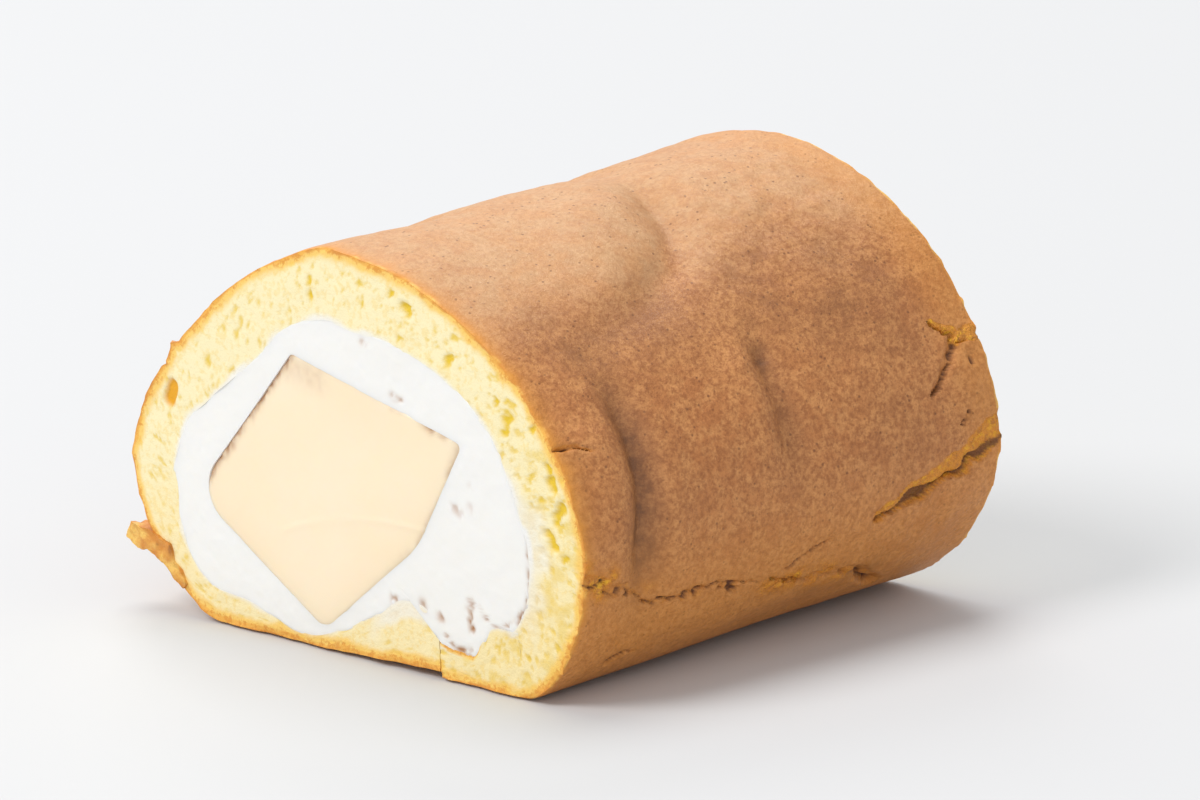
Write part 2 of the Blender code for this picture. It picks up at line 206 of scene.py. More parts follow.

# Marks on the front cut, brown crust in the cream and darker edges of the custard, these partly brown
# marks and partly painted shade: how wide, how strong, and the route
CREAM_MARKS = (
    (0.0005, 1.0, ((0.0466, 0.031), (0.0465, 0.0255), (0.0462, 0.021), (0.0448, 0.017), (0.0425, 0.0147))),
    (0.0005, 0.6, ((0.0425, 0.0147), (0.0385, 0.0127), (0.0353, 0.013), (0.0338, 0.0146))),
    (0.0008, 0.9, ((0.0303, 0.0162), (0.0297, 0.0142), (0.0304, 0.0112))),
    (0.0004, 0.5, ((0.0333, 0.016), (0.0344, 0.0135))),
    (0.0006, 0.8, ((0.0238, 0.0086), (0.0262, 0.0068), (0.03, 0.0066))),
    (0.0009, 0.7, ((0.0097, 0.0134), (0.0103, 0.0128))),
    (0.0009, 0.6, ((0.0178, 0.014), (0.0182, 0.0134))),
    (0.0008, 0.7, ((0.0218, 0.0122), (0.0224, 0.0116))),
    (0.0011, 0.4, ((0.0278, 0.0342), (0.0285, 0.0335))),
    (0.0008, 0.25, ((0.0316, 0.0352), (0.0318, 0.0347))),
    (0.0007, 0.15, ((0.0321, 0.0394), (0.0323, 0.039))),
    (0.0007, 0.35, ((0.0049, 0.0628), (0.0055, 0.0626))),
    (0.0008, 0.55, ((0.0125, 0.0532), (0.0142, 0.0527))),
)
CUSTARD_MARKS_AND_SHADE = (
    # Painted shadow line in the gap between custard and cream along the upper left edge
    (0.0012, 1.0, ((-0.015, 0.0574), (-0.0197, 0.0523), (-0.0236, 0.0481), (-0.0303, 0.0409),
         (-0.034, 0.0369), (-0.0384, 0.0322), (-0.0412, 0.0286))),
    (0.0026, 0.24, ((-0.0165, 0.055), (-0.008, 0.0535))),
    (0.0012, 0.18, ((-0.043, 0.025), (-0.042, 0.018))),
    (0.001, 0.7, ((0.0125, 0.052), (0.014, 0.0513))),
    (0.001, 0.9, ((0.0205, 0.0495), (0.0225, 0.0486))),
    (0.0007, 0.5, ((0.0245, 0.048), (0.026, 0.0474))),
    # Painted shade on the facet at the right corner and down the right edge
    (0.0013, 1.0, ((0.0305, 0.0466), (0.0299, 0.0445), (0.0278, 0.0402))),
    (0.0007, 0.3, ((0.0275, 0.04), (0.0172, 0.0252))),
    # Painted shade along the lower edge
    (0.0016, 0.16, ((0.015, 0.0225), (0.003, 0.011))),
)
BACK_MARKS = 0.6

# Mesh spacing: runs of the way round with their number of steps
STATION_RUNS = ((0.0, 0.07, 32), (0.07, 0.27, 180), (0.27, 0.5, 110), (0.5, 0.6, 28),
                (0.6, 0.68, 46), (0.68, 0.82, 38), (0.82, 1.0, 42))
ROW_STEPS = 166
FRONT_RINGS = 24
FRONT_CROWDING = 1.4
BACK_RINGS = 14
BACK_CROWDING = 1.3
FLAKE_CORNERS = 72
FLAKE_TIP_RINGS = 8
FLAKE_RINGS = 16
CREAM_COLUMNS = 480
CREAM_RINGS = 44
CREAM_STEPS = 6
CUSTARD_COLUMNS = 420
CUSTARD_RINGS = 42
CUSTARD_STEPS = 12
SHARP_ANGLE = 60.0
NOISE_TABLE = 32

# Camera of the photograph: it looks down a little and leans a little to the left
CAMERA_AZIMUTH = 45.0
CAMERA_ELEVATION = 15.0
CAMERA_ROLL = 2.8
CAMERA_PLACE = (0.8637 - X_SHIFT, -0.7967 - LENGTH / 2, 0.3629)
CAMERA_LENS = 194.4
SENSOR_WIDTH = 36.0
CAMERA_CLIP = (0.01, 20.0)

# Studio: name, place, size, power and colour of each light
LIGHTS = (
    ("key", (-0.7, -1.5, 1.9), 1.2, 30.0, (1.0, 0.985, 0.96)),
    ("fill", (1.3, -1.4, 0.7), 1.6, 5.5, (1.0, 1.0, 1.0)),
    ("top", (-0.6, 0.5, 2.6), 1.6, 26.0, (1.0, 0.99, 0.975)),
    ("back", (-1.75, 1.5, 1.75), 1.2, 14.0, (1.0, 0.99, 0.98)),
)
LIGHT_TARGET = (0.0, 0.0, 0.04)
STUDIO_COLOUR = (0.965, 0.98, 1.0)
STUDIO_STRENGTH = 0.66
FLOOR_REACH = 6.0
FLOOR_DROP = 0.0004

# Colours, linear
CRUST_TAN = (0.64, 0.284, 0.094)
CRUST_BROWN = (0.47, 0.168, 0.047)
CRUST_GRAIN = (0.33, 0.112, 0.03)
CRUST_ORANGE = (0.715, 0.282, 0.034)
CRUST_RUST = (0.6, 0.205, 0.014)
# Painted top light: the lighter colour of the crust on top of the roll
CRUST_PAINTED_TOP_LIGHT = (0.62, 0.354, 0.17)
# Painted shade for the folds' hollows and the darker patches
CRUST_PAINTED_SHADE = (0.2, 0.08, 0.03)
# Dark brown of the specks, and of the painted shade in the cracks' gaps
CRUST_DARK = (0.12, 0.04, 0.014)
CRUMB_PALE = (0.915, 0.81, 0.495)
CRUMB_GRAIN = (0.88, 0.67, 0.24)
CRUMB_RICH = (0.92, 0.575, 0.11)
CRUMB_EDGE = (0.85, 0.44, 0.075)
# Painted shade in the pores, also the crumb's own deeper-coloured patches
CRUMB_DEEP = (0.78, 0.53, 0.03)
CRUMB_TORN = (0.925, 0.48, 0.028)
CRUMB_PIT = (0.78, 0.37, 0.012)
CREAM_WHITE = (0.842, 0.834, 0.808)
CREAM_WARM = (0.842, 0.822, 0.765)
CREAM_STAIN = (0.4, 0.165, 0.035)
CUSTARD_PALE = (0.93, 0.78, 0.575)
CUSTARD_WARM = (0.94, 0.76, 0.5)
CUSTARD_PEACH = (0.905, 0.712, 0.48)
# Brown of the custard's edge marks and of its painted edge shade
CUSTARD_RIM = (0.44, 0.23, 0.11)
FLOOR_PALE = (0.628, 0.633, 0.642)


# Shape of the roll

def quarter(centre_x, centre_z, reach_x, reach_z, power, start, steps=60):
    """A quarter of a superellipse, anticlockwise from the start angle."""
    angle = start + np.linspace(0.0, np.pi / 2, steps, endpoint=False)
    across, up = np.cos(angle), np.sin(angle)
    return np.column_stack((centre_x + reach_x * np.sign(across) * np.abs(across) ** (2 / power),
                            centre_z + reach_z * np.sign(up) * np.abs(up) ** (2 / power)))


def outline(cut):
    """Points round a cut outline from the seam, and the fraction of the way round of each."""
    wide, crown = cut["widest_z"], cut["crown_x"]
    low_right, high_right, high_left, low_left = cut["powers"]
    rise = cut["height"] - wide
    points = np.vstack((
        [[SEAM_X, 0.0]],
        quarter(cut["base_right"], wide, cut["right"] - cut["base_right"], wide, low_right, -np.pi / 2),
        quarter(crown, wide, cut["right"] - crown, rise, high_right, 0.0),
        quarter(crown, wide, crown - cut["left"], rise, high_left, np.pi / 2),
        quarter(cut["base_left"], wide, cut["base_left"] - cut["left"], wide, low_left, np.pi),
        [[cut["base_left"], 0.0], [SEAM_X, 0.0]],
    ))
    walked = np.hstack(([0.0], np.cumsum(norm(np.diff(points, axis=0), axis=1))))
    return points, walked / walked[-1]


def on_cut(cut, around, depth):
    """Points at the given depths under a cut outline, in its own plane."""
    points, walked = outline(cut)

    def at(fraction):
        return np.column_stack([np.interp(fraction, walked, points[:, axis]) for axis in (0, 1)])

    step = 0.004
    along = at(np.minimum(around + step, 1.0)) - at(np.maximum(around - step, 0.0))
    along /= norm(along, axis=1)[:, None]
    outward = np.column_stack((along[:, 1], -along[:, 0]))
    placed = at(around) - outward * np.asarray(depth)[:, None]
    placed[:, 1] += SEAM_LIFT * np.clip(1.0 - (1.0 - around) / SEAM_LIFT_FADE, 0.0, 1.0)
    return placed


def place_on_roll(places, along):
    """World points of places on the cuts' plane, carried along the roll with its drift."""
    return np.column_stack((places[:, 0] + DRIFT * along - X_SHIFT, LENGTH * (along - 0.5), places[:, 1]))


def roll_points(around, along, depth):
    """World points at fractions round and along the roll, at a depth under its plain surface."""
    share = np.asarray(along)[:, None]
    flat = on_cut(FRONT, around, depth) * (1 - share) + on_cut(BACK, around, depth) * share
    return place_on_roll(flat, along)


def sheet_thickness(around):
    """Thickness of the sheet: a smooth curve through the named places."""
    places, thicknesses = np.array(SHEET).T
    slopes = np.gradient(thicknesses, places)
    cell = np.clip(np.searchsorted(places, around) - 1, 0, len(places) - 2)
    width = places[cell + 1] - places[cell]
    share = (around - places[cell]) / width
    rest = 1 - share
    start = thicknesses[cell] * rest ** 2 * (1 + 2 * share)
    end = thicknesses[cell + 1] * share ** 2 * (1 + 2 * rest)
    bend = width * share * rest * (slopes[cell] * rest - slopes[cell + 1] * share)
    return start + end + SLOPE_SHARE * bend


# Noise and routes

def noise(points, size, seed):
    """Smooth noise between -1 and 1, with bumps of about the given size."""
    table = np.random.default_rng(seed).uniform(-1.0, 1.0, (NOISE_TABLE,) * 3)
    cells = points / size
    low = np.floor(cells).astype(int)
    share = cells - low
    share = share * share * (3 - 2 * share)
    total = np.zeros(len(points))
    for corner in np.ndindex(2, 2, 2):
        weight = np.prod(np.where(np.array(corner), share, 1 - share), axis=1)
        index = (low + corner) % NOISE_TABLE
        total += weight * table[index[:, 0], index[:, 1], index[:, 2]]
    return total


def layered_noise(points, size, seed, layers=3):
    """Noise with finer and weaker layers on top."""
    total = np.zeros(len(points))
    for layer in range(layers):
        total += noise(points, size / 2 ** layer, seed + layer) / 2 ** layer
    return total


def ease(low, high, value):
    """From 0 at low to 1 at high, with soft ends; low may be above high."""
    share = np.clip((value - low) / (high - low), 0.0, 1.0)
    return share * share * (3 - 2 * share)


def to_route(here, route):
    """For each point: distance to a route, its side (+ or -) and the share of the route walked."""
    bends = np.array(route)
    lengths = norm(np.diff(bends, axis=0), axis=1)
    starts = np.hstack(([0.0], np.cumsum(lengths)))
    nearest = np.full(len(here), np.inf)
    side = np.zeros(len(here))
    walked = np.zeros(len(here))
    for index, (start, end) in enumerate(zip(bends[:-1], bends[1:])):
        span = end - start
        share = np.clip((here - start) @ span / (span @ span), 0.0, 1.0)
        away = here - start - share[:, None] * span
        distance = norm(away, axis=1)
        closer = distance < nearest
        nearest[closer] = distance[closer]
        side[closer] = np.sign(span[1] * away[closer, 0] - span[0] * away[closer, 1])
        walked[closer] = (starts[index] + share[closer] * lengths[index]) / starts[-1]
    return nearest, side, walked


def fading(distance, reach):
    """From 1 at no distance to about 0 at twice the reach."""
    return np.exp(-(distance / reach) ** 2)


def near_route(here, route, reach):
    """How near places lie to a route: 1 on it, fading away over its reach."""
    return fading(to_route(here, route)[0], reach)


def unrolled(around, along):
    """Places on the crust as distances round and along it."""
    return np.column_stack((around * GIRTH, along * LENGTH))


def on_crust(route):
    """A route of (round, along) fractions as distances round and along the crust."""
    return unrolled(*np.transpose(route))


def fold_relief(here):
    """Height of the folds over the plain surface, and how much painted shade darkens the crust in their
    hollows.
    """
    height = np.zeros(len(here))
    shade = np.zeros(len(here))
    for rise, reach, darkening, route in FOLDS:
        distance, _, walked = to_route(here, on_crust(route))
        full = ease(0.0, FOLD_END, walked) * ease(0.0, FOLD_END, 1.0 - walked)
        near = (full * (1.0 - FOLD_AT_END) + FOLD_AT_END) * fading(distance, reach)
        height += rise * near
        shade += darkening * near
    return height, shade


def crack_profile(across):
    """Depth across a plain crack, lower lip at -1, upper lip at 1, deepest by the lower lip."""
    lower, upper = GAP_PLACE + 1.0, 1.0 - GAP_PLACE
    return np.where(np.abs(across) < 1.0,
                    np.where(across < GAP_PLACE, (across + 1.0) / lower, (1.0 - across) / upper), 0.0)


def filled_profile(across, ragged):
    """Depth across a bright crack: crumb fills it, down to a ragged gap by the lower lip."""
    opened = ease(-0.1, -0.55, across - 0.7 * ragged)
    return np.clip((1.0 - np.abs(across)) / 0.25, 0.0, 1.0) * (CRUMB_LEVEL + (1.0 - CRUMB_LEVEL) * opened)


def crack_relief(here, along, points):
    """Depth of the cracks, how bright the torn crumb in them is, and the painted shade in their gaps."""
    depth, torn, gap = (np.zeros(len(here)) for _ in range(3))
    for index, ((wide_end, thin_end), deep, jagged, bright, bends) in enumerate(CRACKS):
        seed = 40 + 5 * index
        jag = jagged * (0.7 * noise(points, 0.003, seed) + 0.5 * noise(points, 0.0012, seed + 1))
        route = on_crust(bends)
        distance, side, walked = to_route(here + np.column_stack((jag, 0.4 * jag)), route)
        half = 0.5 * (wide_end + (thin_end - wide_end) * walked)
        half *= 1.0 + 0.35 * noise(points, 0.004, seed + 2)
        way = np.sign(route[-1, 1] - route[0, 1])
        across = way * side * distance / half
        filled = bright > FILLED_FROM
        inside = filled_profile(across, noise(points, 0.003, seed + 4)) if filled else crack_profile(across)
        ends = ease(0.0, 0.06, 1.0 - walked)
        if len(route) >= LONG_ROUTE:
            ends *= ease(-0.5, 0.05, noise(points, 0.009, seed + 4))
        lumps = noise(points, 0.0015, seed + 3)
        carved = deep * inside * ends * (0.8 + 0.45 * lumps * (inside < 0.9))
        # The crumb of a filled crack stands out where it leaves the roll at the back
        carved *= 1.0 - 1.3 * filled * ease(0.93, 1.0, along)
        depth = np.where(np.abs(carved) > np.abs(depth), carved, depth)
        torn = np.maximum(torn, ease(0.02, 0.18, inside) * ends * bright)
        # Painted shade in the deepest part of each crack, less where crumb fills it
        deepest = ease(0.6, 0.95, inside + 0.25 * lumps)
        gap = np.maximum(gap, deepest * ends * (1.0 - 0.7 * ease(0.6, 1.0, bright)))
    for index, (reach, strength, route) in enumerate(BLOTCHES):
        ragged = 0.35 + 0.65 * ease(-0.3, 0.5, layered_noise(points, 0.003, 160 + 5 * index, 3))
        torn = np.maximum(torn, strength * ragged * near_route(here, on_crust(route), reach))
    return depth, torn, gap


# Mesh helpers

def add_object(name, data):
    """A new object of the scene with the given data."""
    added = bpy.data.objects.new(name, data)
    bpy.context.scene.collection.objects.link(added)
    return added


def make_piece(name, points, faces, material, layers):
    """A smooth-shaded mesh piece, with its float layers, that rides on the root body."""
    data = bpy.data.meshes.new(name)
    data.from_pydata(points.tolist(), [], faces)
    data.materials.append(material)
    for layer, values in layers.items():
        data.attributes.new(layer, "FLOAT", "POINT").data.foreach_set("value", values.astype(np.float32))
    data.update()
    data.shade_smooth()
    data.set_sharp_from_angle(angle=np.radians(SHARP_ANGLE))
    piece = add_object(name, data)
    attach(piece, "root")
    return piece


def grid_quads(columns, rows, close_columns=False):
    """Faces of a grid of closed rows, whose vertices are numbered column by column."""
    column = np.arange(columns if close_columns else columns - 1)
    column, row = (part.ravel() for part in np.meshgrid(column, np.arange(rows), indexing="ij"))
    next_column, next_row = (column + 1) % columns, (row + 1) % rows
    return np.column_stack((column * rows + row, next_column * rows + row,
                            next_column * rows + next_row, column * rows + next_row)).tolist()


def end_caps(columns, rows):
    """The two end faces of a loft of closed rings."""
    last = (columns - 1) * rows
    return [list(range(rows)), list(range(last, last + rows))[::-1]]


def turned(faces):
    """The same faces seen from the other side."""
    return [corners[::-1] for corners in faces]


# Sponge

def stations():
    """Fractions of the way round where the sheet has vertices, from one side of the seam to the other."""
    half_seam = 0.5 * SEAM_WIDTH / GIRTH
    runs = [np.linspace(start, end, steps, endpoint=False) for start, end, steps in STATION_RUNS]
    around = np.append(np.hstack(runs), 1.0)
    around[0], around[-1] = half_seam, 1.0 - half_seam
    return around


def sheet_path():
    """One way over the sheet, from cut to cut: place along the roll, share of the depth, and face."""
    rows = np.linspace(0.0, 1.0, ROW_STEPS + 1)
    between = np.zeros(len(rows) - 2)
    along = np.hstack((np.zeros(FRONT_RINGS), rows, np.ones(BACK_RINGS), [0.5]))
    share = np.hstack((np.linspace(1.0, 0.0, FRONT_RINGS + 1) ** FRONT_CROWDING, between,
                            np.linspace(0.0, 1.0, BACK_RINGS + 1) ** BACK_CROWDING, [1.0]))
    face = np.hstack((np.ones(FRONT_RINGS + 1), between, -np.ones(BACK_RINGS + 1), [0.0]))
    return along, share, face


def sheet_grid():
    """Where the sheet's vertices lie: round, along, into it, and on which face (1 front, -1 back)."""
    around, path = stations(), sheet_path()
    grid = SimpleNamespace(columns=len(around), rows=len(path[0]))
    grid.around = np.repeat(around, grid.rows)
    grid.along, grid.share, grid.face = (np.tile(values, grid.columns) for values in path)
    grid.thickness = sheet_thickness(grid.around)
    grid.under = grid.share * grid.thickness
    grid.in_crust = np.exp(-grid.under / CRUST_DEPTH)
    grid.to_edge = np.minimum(grid.along, 1 - grid.along) * LENGTH
    grid.here = unrolled(grid.around, grid.along)
    grid.plain = roll_points(grid.around, grid.along, np.zeros(len(grid.around)))
    grid.height = grid.plain[:, 2]
    grid.on_top = ease(0.275, 0.365, grid.around + 0.02 * noise(grid.plain, 0.013, 57))
    return grid


def crust_relief(grid):
    """Height of the crust's relief, the cracks' depth, how torn the crust is, and the painted shade of its
    folds, darker patches and crack gaps.
    """
    # Nothing is added where the roll stands
    standing = ease(0.0, STANDING_CLEAR, grid.height)
    relief, painted_shade = fold_relief(grid.here)
    relief *= standing
    relief += standing * SWELL_HEIGHT * layered_noise(grid.plain, 0.011, 11, 3)
    relief += standing * GRAIN_HEIGHT * layered_noise(grid.plain, 0.0026, 17, 2)
    creased = np.exp(-((grid.around - 0.345) / 0.055) ** 2 - ((grid.along - 0.76) / 0.2) ** 2)
    wrinkles = layered_noise(grid.plain * WRINKLE_STRETCH, 0.0024, 23, 2)
    relief += standing * (WRINKLE_HEIGHT + CREASE_HEIGHT * creased) * wrinkles
    carved, torn, gap = crack_relief(grid.here, grid.along, grid.plain)
    relief += standing * TORN_HEIGHT * torn * layered_noise(grid.plain, 0.0019, 29, 2)
    relief -= EDGE_ROUNDING * np.exp(-grid.to_edge / 0.0004)
    tufts = np.maximum(noise(grid.plain, 0.0017, 27) - 0.3, 0.0)
    relief += standing * TUFT_HEIGHT * tufts * (1.0 - 0.7 * grid.on_top) * np.exp(-grid.to_edge / 0.0007)
    uneven = 1.0 + 0.4 * noise(grid.plain, 0.005, 59)
    # Painted shade on the darker patches
    for reach, strength, route in PAINTED_SHADE_PATCHES:
        painted_shade += strength * near_route(grid.here, on_crust(route), reach) * uneven
    return relief, carved, painted_shade, torn, gap


def painted_top_light_on_crust(grid):
    """Painted top light: how much lighter the crust is painted on top of the roll, less at the back and along
    an ochre stripe.
    """
    less = 1.0 - 0.2 * ease(0.55, 0.95, grid.along)
    painted_top_light = grid.on_top * ease(0.72, 0.58, grid.around) * less
    return painted_top_light * (1.0 - 0.55 * near_route(grid.here, on_crust(OCHRE_STRIPE), OCHRE_REACH))


def small_pores(seed):
    """Places, radii and depths of fine pores in the crumb, spread over a cut."""
    rng = np.random.default_rng(seed)
    around = rng.uniform(0.0, 1.0, SMALL_PORES)
    share = rng.uniform(0.08, 0.97, SMALL_PORES)
    places = on_cut(FRONT, around, share * sheet_thickness(around))
    # The right wall is the most open
    opener = np.where(around < 0.33, 1.25, 0.85)
    radius = (0.0003 + 0.00055 * rng.random(SMALL_PORES) ** 2) * opener
    return np.column_stack((places, radius, radius * rng.uniform(0.3, 0.6, SMALL_PORES))).tolist()


def pore_relief(places, pores):
    """Depth of the pores at places on a cut, and their painted shade, stronger for deeper pores."""
    depth = np.zeros(len(places))
    shade = np.zeros(len(places))
    for across, up, radius, deep in pores:
        near = np.nonzero(np.all(np.abs(places - (across, up)) < 2 * radius, axis=1))[0]
        away = places[near] - (across, up)
        turn = np.arctan2(away[:, 1], away[:, 0])
        edge = radius * (1.0 + 0.25 * np.sin(2 * turn + 900 * across) + 0.15 * np.sin(3 * turn + 700 * up))
        inside = ease(0.0, 0.45, 1.0 - norm(away, axis=1) / edge)
        depth[near] = np.maximum(depth[near], PORE_SHALLOWING * deep * inside)
        shade[near] = np.maximum(shade[near], inside * min(1.0, 0.35 + deep / DARK_PORE_DEPTH))
    return depth, shade


def cut_relief(grid, points):
    """Depth of the relief on the two cuts, painted pore shade with the crumb's own deeper patches, and where
    the pit is.
    """
    place = points[:, [0, 2]] + (X_SHIFT, 0.0)
    place[:, 0] -= DRIFT * grid.along
    into = 0.00014 * layered_noise(points, 0.004, 31, 3)
    shade = np.zeros(len(points))
    patches = ease(-0.1, 0.7, layered_noise(points, 0.0032, 33, 3))
    patchy = ease(0.3, 0.24, grid.around) * patches
    deeper = 0.03 * ease(0.034, 0.014, grid.height) + 0.08 * ease(0.3, 0.22, grid.around)
    for which, pores in ((grid.face > 0, [*PORES, *small_pores(3)]), (grid.face < 0, small_pores(4))):
        dip, dark = pore_relief(place[which], pores)
        into[which] += dip
        shade[which] = np.maximum(dark, np.maximum(0.5 * patchy[which], deeper[which]))
    from_pit = to_route(place, PIT)[0]
    in_pit = ease(0.0, 0.4, 1 - from_pit / PIT_RADIUS) * (grid.face > 0)
    into += PIT_DEPTH * in_pit
    burr = 0.0003 * noise(points, 0.0022, 37) + 0.00045 * np.maximum(noise(points, 0.006, 38) - 0.35, 0.0)
    return into - grid.in_crust * burr, shade, in_pit


def toasting(grid, points):
    """How toasted the crumb is by the crust, and the crust by the cuts; more orange towards the back end,
    and low down with painted warm shade and bounce light.
    """
    skin = grid.under + 0.0007 * noise(points, 0.0035, 53) + 0.0004 * noise(points, 0.001, 54)
    skin -= 0.0005 * ease(0.76, 0.82, grid.around)
    of_crumb = np.maximum(ease(0.0034, 0.0002, skin), 0.19 * ease(0.036, 0.014, grid.height))
    # Painted warm shade and bounce light: the crust more orange low down; it is also more orange towards the
    # back end
    painted_bounce_and_back_orange = np.maximum(0.42 * ease(0.038, 0.012, grid.height),
                          0.3 * ease(0.013, 0.002, (1 - grid.along) * LENGTH))
    ragged_edge = grid.to_edge + 0.0007 * noise(grid.plain, 0.002, 58)
    of_crust = np.maximum((0.95 - 0.4 * grid.along) * np.exp(-ragged_edge / 0.0019), painted_bounce_and_back_orange)
    # The sheet's end at the seam was crust too
    cut_end = grid.around * GIRTH + 0.0006 * noise(points, 0.0014, 55)
    seam_cut = ease(0.0018, 0.0004, cut_end) * ease(0.0045, 0.003, grid.under)
    cut_top = ease(0.0012, 0.0004, grid.thickness - grid.under + 0.0004 * noise(points, 0.0012, 56))
    cut_top *= ease(0.036, 0.03, grid.around)
    of_crumb = np.maximum(of_crumb, np.maximum(seam_cut, cut_top))
    return np.where(grid.face != 0, of_crumb, of_crust)


def smearing(grid, points, toast):
    """How much cream is smeared over the cuts: by its rim, on the right wall and at the buried end."""
    from_cream = grid.thickness - grid.under
    smeared = 0.9 * ease(0.0012, -0.0002, from_cream + 0.0009 * noise(points, 0.0035, 61))
    right_wall = ease(0.27, 0.22, grid.around) * ease(0.09, 0.13, grid.around)
    by_wall = ease(0.0075, 0.002, from_cream + 0.0035 * noise(points, 0.004, 63))
    smeared += right_wall * by_wall * 0.55
    buried_end = ease(0.935, 0.96, grid.around) * ease(0.998, 0.985, grid.around)
    by_end = ease(0.005, 0.0022, from_cream + 0.0025 * noise(points, 0.003, 65))
    smeared += buried_end * by_end * 0.75
    return np.where(grid.face != 0, np.clip(smeared, 0.0, 1.0) * (1 - toast), 0.0)


def make_sponge(material):
    """The whole sheet as one closed skin: crust, both cuts, its inner side and its ends at the seam."""
    grid = sheet_grid()
    relief, carved, painted_shade, torn, gap = crust_relief(grid)
    depth = grid.under + grid.in_crust * carved - (1 - grid.share) ** 3 * relief
    points = roll_points(grid.around, grid.along, depth)
    into, pore, pit = cut_relief(grid, points)
    points[:, 1] += grid.face * into
    points[:, 2] = np.maximum(points[:, 2], 0.0)

    crumb = ease(-0.0002, 0.0004, grid.under + 0.0005 * layered_noise(points, 0.0018, 51, 2))
    crumb = np.where(grid.face != 0, crumb, np.where(grid.share == 0.0, 0.0, 1.0))
    toast = toasting(grid, points)
    layers = dict(crumb=crumb, toast=toast, torn=torn * grid.in_crust, gap=gap * grid.in_crust, pore=pore,
                  pit=pit, smear=smearing(grid, points, toast), painted_shade=painted_shade, painted_top_light=painted_top_light_on_crust(grid))
    faces = turned(grid_quads(grid.columns, grid.rows)) + end_caps(grid.columns, grid.rows)
    return make_piece("sponge_sheet", points, faces, material, layers)


def make_flake(material):
    """The torn flake: a loft that shrinks back into the sheet, roughened."""
    edge = np.array([*FLAKE, FLAKE[0]])
    lengths = np.hstack(([0.0], np.cumsum(norm(np.diff(edge, axis=0), axis=1))))
    around = np.linspace(0.0, lengths[-1], FLAKE_CORNERS, endpoint=False)
    ring = np.column_stack([np.interp(around, lengths, edge[:, axis]) for axis in (0, 1)])
    middle, root = ring.mean(axis=0), np.array(FLAKE_ROOT)
    growth = [(middle, size, 0.0) for size in np.linspace(0.05, 1.0, FLAKE_TIP_RINGS)]
    shares = np.linspace(0.0, 1.0, FLAKE_RINGS)[1:]
    growth += [(root, 1 - (1 - FLAKE_TAPER) * share ** 2, share) for share in shares]
    growth += [(root, size, 1.0) for size in FLAKE_END_SIZES]
    rings = []
    for about, size, share in growth:
        grown = about + (ring - about) * size
        away = share * FLAKE_LENGTH
        rings.append(np.column_stack((grown[:, 0] + DRIFT * away / LENGTH - X_SHIFT,
                                      np.full(len(ring), away - LENGTH / 2 - FLAKE_PROUD), grown[:, 1])))
    points = np.vstack(rings)
    rough = np.column_stack([layered_noise(points, 0.0018, 70 + axis, 2) for axis in range(3)])
    points = points + FLAKE_ROUGHNESS * rough
    layers = dict.fromkeys(("torn", "pit", "smear", "painted_shade", "painted_top_light"), np.zeros(len(points)))
    layers.update(crumb=ease(-0.4, 0.6, noise(points, 0.0018, 74)) * 0.85,
                  toast=np.full(len(points), 0.8),
                  # Dark patches at random, through the layer that carries the cracks' painted shade
                  gap=0.5 * ease(0.35, 0.8, noise(points, 0.0013, 76)),
                  pore=ease(0.3, 0.9, noise(points, 0.0011, 75)))
    faces = grid_quads(len(rings), len(ring)) + end_caps(len(rings), len(ring))
    return make_piece("sponge_flake", points, faces, material, layers)


# Custard and cream

def rounded_corners(corners, steps=7):
    """A polygon with each corner turned into an arc."""
    places = np.array([corner[:2] for corner in corners])
    points = []
    for index, corner in enumerate(corners):
        here = places[index]
        before, after = places[index - 1] - here, places[(index + 1) % len(corners)] - here
        before /= norm(before)
        after /= norm(after)
        half_angle = 0.5 * np.arccos(before @ after)
        middle = (before + after) / norm(before + after)
        radius = corner[2]
        centre = here + middle * radius / np.sin(half_angle)
        opening = np.pi / 2 - half_angle
        side = np.array((-middle[1], middle[0]))
        for turn in np.linspace(-opening, opening, steps):
            points.append(centre - radius * (middle * np.cos(turn) + side * np.sin(turn)))
    return np.array(points)


def reach_in(angles, corners):
    """How far a closed line of points lies from the custard's middle in given directions, at the farthest."""
    start = corners - CUSTARD_MIDDLE
    span = np.roll(start, -1, axis=0) - start
    heading = np.column_stack((np.cos(angles), np.sin(angles)))
    slant = heading[:, :1] * span[:, 1] - heading[:, 1:] * span[:, 0]
    slant = np.where(np.abs(slant) < 1e-12, 1e-12, slant)
    reach = (start[:, 0] * span[:, 1] - start[:, 1] * span[:, 0]) / slant
    share = (start[:, 0] * heading[:, 1:] - start[:, 1] * heading[:, :1]) / slant
    return np.where((share >= 0.0) & (share <= 1.0) & (reach > 0.0), reach, 0.0).max(axis=1)


def around_middle(angles, reach):
    """Places at distances from the custard's middle in given directions."""
    return CUSTARD_MIDDLE + reach[:, None] * np.column_stack((np.cos(angles), np.sin(angles)))




def marked(places, marks, seed, speckle):
    """How strongly each place carries a mark, broken up into specks."""
    total = np.zeros(len(places))
    flat = np.column_stack((places, np.zeros(len(places))))
    for index, (width, strength, route) in enumerate(marks):
        wobble = (noise(flat, 0.002, seed + index), noise(flat, 0.002, seed + 50 + index))
        near = near_route(places + 0.00035 * np.column_stack(wobble), route, width)
        grain = np.clip(1.0 - 0.35 * speckle + speckle * noise(flat, 0.0008, seed + 90 + index), 0.0, 1.2)
        total = np.maximum(total, strength * grain * near)
    return np.clip(total, 0.0, 1.0)


def marks_on(face, places, marks, seed, speckle):
    """Marks on the front (1), other and fainter ones on the back (-1), and none between the cuts (0)."""
    if face == 0:
        return np.zeros(len(places))
    if face > 0:
        return marked(places, marks, seed, speckle)
    return BACK_MARKS * marked(places, marks, seed + 50, speckle)


def carried(places, along):
    """World points of places on the front cut, carried along the roll with its drift and its rise."""
    layer = place_on_roll(places, np.full(len(places), along))
    layer[:, 2] += CUSTARD_RISE * along
    return layer


